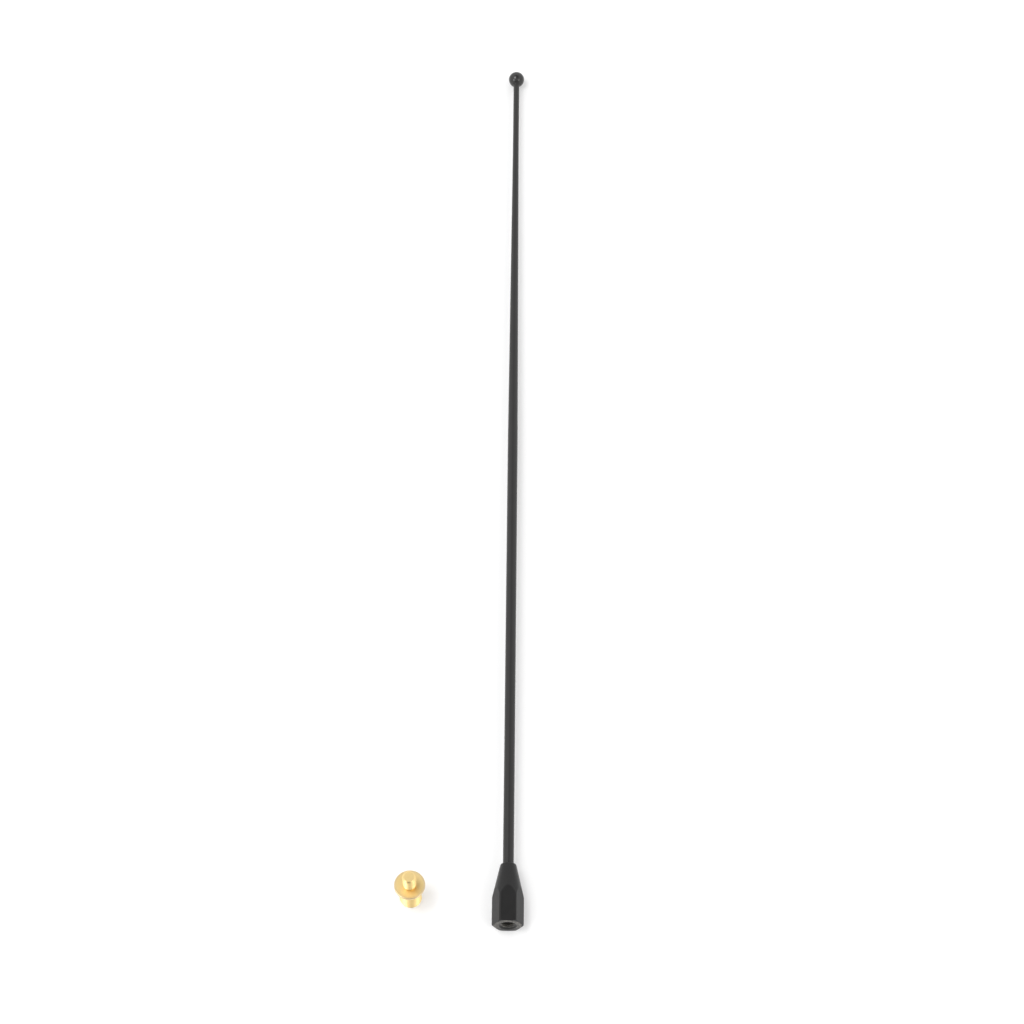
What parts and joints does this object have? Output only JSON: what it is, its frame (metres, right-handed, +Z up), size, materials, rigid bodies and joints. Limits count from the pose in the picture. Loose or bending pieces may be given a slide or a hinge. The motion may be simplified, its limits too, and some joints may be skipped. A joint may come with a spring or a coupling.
{
  "type": "short car antenna",
  "caption": "Straight tapered whip antenna with a hexagonal threaded ferrule and a ball tip, lying flat, with a separate flanged brass thread adapter standing beside it.",
  "frame": {"origin": "centre of the threaded bore's mouth, on the face of the hexagonal ferrule", "axes": "+Y along the antenna from its mouth to its ball tip, 0.25 degrees below level as it lies on a table; +Z up; the adapter stands upright at -X"},
  "size_m": [0.0468, 0.4064, 0.0195],
  "materials": {
    "black_ferrule": "satin black coating on turned steel",
    "black_whip": "satin black coating on a tapered steel rod",
    "black_ball": "glossy black coating",
    "brass": "bright turned brass"
  },
  "bodies": {
    "root": {"hex_ferrule": "black_ferrule", "whip_rod": "black_whip", "ball_tip": "black_ball", "thread_adapter": "brass"}
  },
  "joints": []
}
